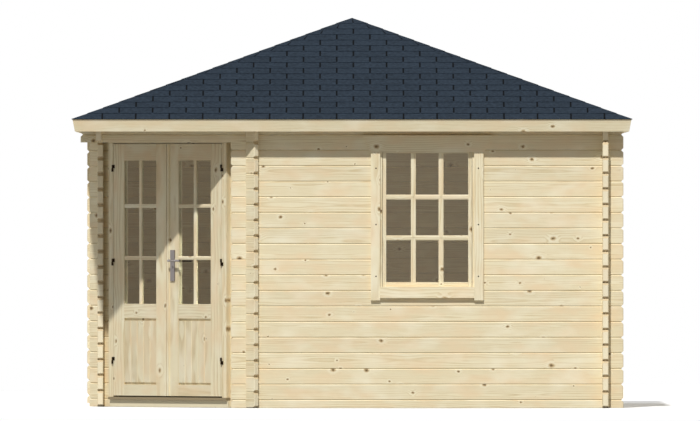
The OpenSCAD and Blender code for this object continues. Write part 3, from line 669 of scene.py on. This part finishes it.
paneLow, paneHigh = nodeBox("front_window_glass")
half = (paneHigh[0] - paneLow[0]) / 2 - house["tuck"]
windowGrid = {
    "x0": -half,
    "x1": half,
    "z0": paneLow[2] + house["tuck"],
    "z1": paneHigh[2] - house["tuck"],
    "uprights": (-101.0, 101.0),
    "levels": (1241.0, 1538.6),
}
frontGlass = np.array([house["windowAt"], -wallMid, 0.0])
leftGlass = frontGlass[[1, 0, 2]]  # the left window mirrors the front one about the diagonal
glazingBars("front_window_bars", windowBars, frontGlass, alongX, -alongY, windowGrid, boardsX, "cabin")
glazingBars("left_window_bars", windowBars, leftGlass, alongY, -alongX, windowGrid, boardsY, "cabin")

leafLow, leafHigh = nodeBox("left_leaf_glass")
leafGrid = {
    "x0": leafBoards["inner"],
    "x1": leafBoards["outer"],
    "z0": leafLow[2] + house["tuck"],
    "z1": leafHigh[2] - house["tuck"],
    "uprights": ((leafBoards["inner"] + leafBoards["outer"]) / 2,),
    "levels": (1092.0, 1473.5),
}
leafGlassOut = 28.0  # middle of the door glass in front of the wall's face
doorFace = outOfDoor * house["doorD"]
doorGlass = outOfDoor * (house["doorD"] + leafGlassOut)
for word, hand in doorHands.items():
    glazingBars(word + "_leaf_bars", doorBars, doorGlass, alongDoor * hand, outOfDoor, leafGrid, boardsU,
                word + "_door")
print("glazing bars fitted")


# Door boards: upright boards with V edges on both faces, on a thin back that fills the grooves
panel = {
    "vee": 4.5,
    "out": 40.0,  # outer face of the boards in front of the wall's face
    "thick": 30.0,
    "groove": 17.0,  # how far the boards stop short of the back, above and below
    "backT": 4.0,
}


def boardedSection(look, x0, x1):
    # face line of the boards: flat, with a V between neighbours; the back is the same line turned over
    joints = np.linspace(x0, x1, leafBoards["count"] + 1)[1:-1]
    x = (joints[:, None] + look["vee"] * np.array([-1.0, 0.0, 1.0])).ravel()
    dip = np.tile([0.0, look["vee"], 0.0], len(joints))
    x = np.concatenate([[x0], x, [x1]])
    dip = np.concatenate([[0.0], dip, [0.0]])
    back = np.stack([x, look["out"] - look["thick"] + dip], axis=1)
    front = np.stack([x, look["out"] - dip], axis=1)[::-1]
    return np.concatenate([back, front])


panelLow, panelHigh = nodeBox("left_leaf_panel")
short = house["tuck"] + panel["groove"]
for word, hand in doorHands.items():
    section = boardedSection(panel, *sorted((boardStart * hand, boardEnd * hand)))
    boarded = sweep(section, doorFace + upward * (panelLow[2] + short),
                    doorFace + upward * (panelHigh[2] - short), alongDoor, outOfDoor)
    wide0, wide1 = sorted(((boardStart - house["tuck"]) * hand, (boardEnd + house["tuck"]) * hand))
    out0 = leafGlassOut - panel["backT"] / 2
    out1 = leafGlassOut + panel["backT"] / 2
    rim = np.array([[wide0, out0], [wide1, out0], [wide1, out1], [wide0, out1]])
    backing = sweep(rim, doorFace + upward * panelLow[2], doorFace + upward * panelHigh[2],
                    alongDoor, outOfDoor)
    putPiece(word + "_leaf_boards", [(*boarded, 0), (*backing, 0)], [panelFinish[word]], word + "_door",
             [word + "_leaf_panel"])
print("door boards fitted")


# Screw heads: low domes in the window casings and the handle plates
screw = {"rise": 0.35, "rings": 4, "around": 12}


def domes(centres, out, radius):
    # height over the plate = rise * (1 - r * r), r from 0 in the middle to 1 at the rim, closed below
    # and all of it times the radius
    n = screw["around"]
    rings = screw["rings"]
    side = np.cross(out, upward)
    r = np.arange(1, rings + 1)[:, None] / rings
    turn = np.arange(n) / n * 2 * np.pi
    flatX = r * np.cos(turn)
    flatY = r * np.sin(turn)
    height = screw["rise"] * (1 - r * r) + 0 * turn
    ring = (flatX[..., None] * side + flatY[..., None] * upward + height[..., None] * out).reshape(-1, 3)
    one = np.concatenate([[out * screw["rise"]], ring]) * radius
    j = np.arange(n)
    k = (j + 1) % n
    fan = np.stack([0 * j, 1 + k, 1 + j], axis=1)
    band = np.stack([1 + j, 1 + k, 1 + n + k, 1 + n + j], axis=1)
    rim = 1 + (rings - 1) * n + j[None]
    faces = [repeated(shape, len(centres), len(one)) for shape in (fan, repeated(band, rings - 1, n), rim)]
    points = (np.asarray(centres)[:, None, :] + one[None]).reshape(-1, 3)
    return points, faces


casingScrews = {"x": 374.0, "z": (960.0, 1338.0, 1749.0), "out": 22.4, "radius": 5.5}
for word, origin, sideways, out in (("front", frontGlass, alongX, -alongY),
                                    ("left", leftGlass, alongY, -alongX)):
    face = origin + out * (house["logT"] / 2 + casingScrews["out"])
    centres = [face + sideways * hand * casingScrews["x"] + upward * z
               for hand in (-1, 1) for z in casingScrews["z"]]
    putPiece(word + "_casing_screws", [(*domes(centres, out, casingScrews["radius"]), 0)], [hingeSteel],
             "cabin")

plateScrews = {"x": 59.5, "z": (938.0, 1138.0), "out": 50.4, "radius": 4.0}
plateFace = outOfDoor * (house["doorD"] + plateScrews["out"]) + alongDoor * plateScrews["x"]
centres = [plateFace + upward * z for z in plateScrews["z"]]
putPiece("plate_screws", [(*domes(centres, outOfDoor, plateScrews["radius"]), 0)], [handleZinc],
         "right_door")
print("screws set")


# Stage: pale floor, a sun-like key from the front left, softer lamps behind, even light all round
stage = {
    "keyTravel": (0.18, 1.0, -1.266),
    "keyStrength": 3.1,
    "keyAngle": 1.5,
    "backTravel": (1.0, -0.8, -0.9),
    "backStrength": 1.1,
    "backAngle": 25.0,
    "fill": 0.21,
    "backdrop": 1.0,
    "floorSize": 18.0,
    "floorCorners": (80.0, 200.0, 320.0),  # one triangle, so no edge crosses it
    "floorDrop": 0.002,
    "floorTone": "#F4F4F4",
    "floorRoughness": 0.9,
    "floorBounce": 0.26,  # what the floor gives back to the object
}


def lamp(name, travel, strength, angle):
    data = bpy.data.lights.new(name, "SUN")
    data.energy = strength
    data.angle = math.radians(angle)
    sun = bpy.data.objects.new(name, data)
    tilt = math.acos(-travel[2] / np.linalg.norm(travel))
    sun.rotation_euler = (tilt, 0, math.atan2(-travel[0], travel[1]))
    bpy.context.scene.collection.objects.link(sun)


def seenStraight(tree):
    # 1 for what the camera sees, also by way of metal or glass
    path = addNode(tree, "LightPath").outputs
    seen = calc(tree, "MAXIMUM", path["Is Camera Ray"], path["Is Glossy Ray"])
    return calc(tree, "MAXIMUM", seen, path["Is Transmission Ray"])


lamp("key", stage["keyTravel"], stage["keyStrength"], stage["keyAngle"])
backX, backY, backZ = stage["backTravel"]
lamp("back left", (backX, backY, backZ), stage["backStrength"], stage["backAngle"])
lamp("back right", (-backX, backY, backZ), stage["backStrength"], stage["backAngle"])

floorFinish, floorTree, floorShader = newMaterial("pale studio floor")
bounce = stage["floorBounce"]
floorTone = blend(floorTree, seenStraight(floorTree), (bounce, bounce, bounce, 1), linear(stage["floorTone"]))
setInputs(floorTree, floorShader, {"Base Color": floorTone, "Roughness": stage["floorRoughness"]})
floorMesh = bpy.data.meshes.new("studio floor")
floorTurn = np.radians(stage["floorCorners"])
floorRim = stage["floorSize"] * np.stack([np.cos(floorTurn), np.sin(floorTurn), 0 * floorTurn], axis=1)
floorMesh.from_pydata(floorRim.tolist(), [], [(0, 1, 2)])
floorMesh.materials.append(floorFinish)
studioFloor = bpy.data.objects.new("studio floor", floorMesh)
studioFloor.location.z = -stage["floorDrop"]
bpy.context.scene.collection.objects.link(studioFloor)

# the world lights evenly, and is white where it is seen
world = bpy.data.worlds.new("studio")
bpy.context.scene.world = world
world.use_nodes = True
sky = world.node_tree
sky.nodes.clear()
white = (1, 1, 1, 1)
fillLight = addNode(sky, "Background", {"Color": white, "Strength": stage["fill"]}).outputs[0]
backdrop = addNode(sky, "Background", {"Color": white, "Strength": stage["backdrop"]}).outputs[0]
chosen = addNode(sky, "MixShader", {0: seenStraight(sky), 1: fillLight, 2: backdrop}).outputs[0]
addNode(sky, "OutputWorld", {"Surface": chosen})

# Camera: straight on to the front, so far back that the view is almost without perspective
view = {
    "mmPerPixel": 7.336,
    "wide": 700,  # pixels
    "centre": (-14.7, 1440.8),  # what the middle of the picture shows, across and up
    "plane": -1200.0,  # the depth at which that scale holds
    "lens": 1030.0,
    "sensor": 36.0,
    "clipStart": 1.0,
    "clipBeyond": 100.0,
}
cameraData = bpy.data.cameras.new("camera")
cameraData.lens = view["lens"]
cameraData.sensor_width = view["sensor"]
away = view["mmPerPixel"] * view["wide"] * mm * view["lens"] / view["sensor"]
cameraData.clip_start = view["clipStart"]
cameraData.clip_end = away + view["clipBeyond"]
camera = bpy.data.objects.new("camera", cameraData)
camera.location = (view["centre"][0] * mm, view["plane"] * mm - away, view["centre"][1] * mm)
camera.rotation_euler = (math.pi / 2, 0, 0)
bpy.context.scene.collection.objects.link(camera)
bpy.context.scene.camera = camera
bpy.context.scene.view_settings.view_transform = "Standard"
print("stage set")
